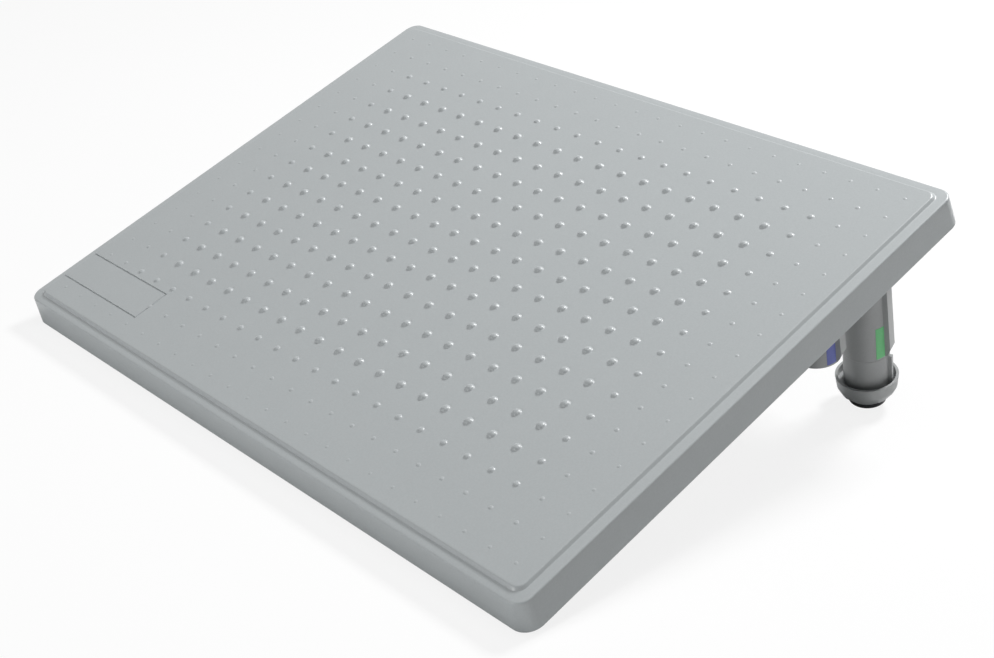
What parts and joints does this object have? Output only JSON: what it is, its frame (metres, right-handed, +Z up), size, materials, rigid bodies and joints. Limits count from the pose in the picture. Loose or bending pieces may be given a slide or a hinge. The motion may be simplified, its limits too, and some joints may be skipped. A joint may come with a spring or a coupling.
{
  "type": "tilting under desk footrest",
  "caption": "Grey moulded footrest board with domed bumps, tilted on two rear feet that plug onto colour-marked posts.",
  "frame": {"origin": "on the floor under the middle of the footrest's box", "axes": "+X to the right along the board's long side, +Y to the raised rear edge, +Z up"},
  "size_m": [0.4574, 0.3301, 0.134],
  "materials": {
    "board_plastic": "fine matt texture, light grey",
    "leg_plastic": "satin moulded, mid grey",
    "green_mark": "flat green inlay",
    "blue_mark": "flat blue inlay",
    "rubber": "dull black rubber",
    "steel": "zinc-plated screws"
  },
  "bodies": {
    "board": {"platform_shell": "board_plastic", "left_front_grip": "rubber", "left_green_post": "leg_plastic", "left_green_mark": "green_mark", "left_blue_post": "leg_plastic", "left_blue_mark": "blue_mark", "left_post_screws": "steel", "right_front_grip": "rubber", "right_green_post": "leg_plastic", "right_green_mark": "green_mark", "right_blue_post": "leg_plastic", "right_blue_mark": "blue_mark", "right_post_screws": "steel"},
    "left_foot": {"left_foot_stem": "leg_plastic", "left_rubber_tip": "rubber", "left_tip_screw": "steel"},
    "left_collar": {"left_twist_collar": "leg_plastic"},
    "right_foot": {"right_foot_stem": "leg_plastic", "right_rubber_tip": "rubber", "right_tip_screw": "steel"},
    "right_collar": {"right_twist_collar": "leg_plastic"}
  },
  "joints": [
    {"name": "left_foot_pull", "type": "slide", "parent": "board", "child": "left_foot", "axis": [0, 0.2033, -0.9791], "range_m": [0, 0.019]},
    {"name": "left_collar_twist", "type": "hinge", "parent": "left_foot", "child": "left_collar", "pos_m": [-0.1968, 0.13837, 0.01469], "axis": [0, -0.2033, 0.9791], "range_deg": [0, 90]},
    {"name": "right_foot_pull", "type": "slide", "parent": "board", "child": "right_foot", "axis": [0, 0.2033, -0.9791], "range_m": [0, 0.019]},
    {"name": "right_collar_twist", "type": "hinge", "parent": "right_foot", "child": "right_collar", "pos_m": [0.1968, 0.13837, 0.01469], "axis": [0, -0.2033, 0.9791], "range_deg": [0, 90]}
  ]
}
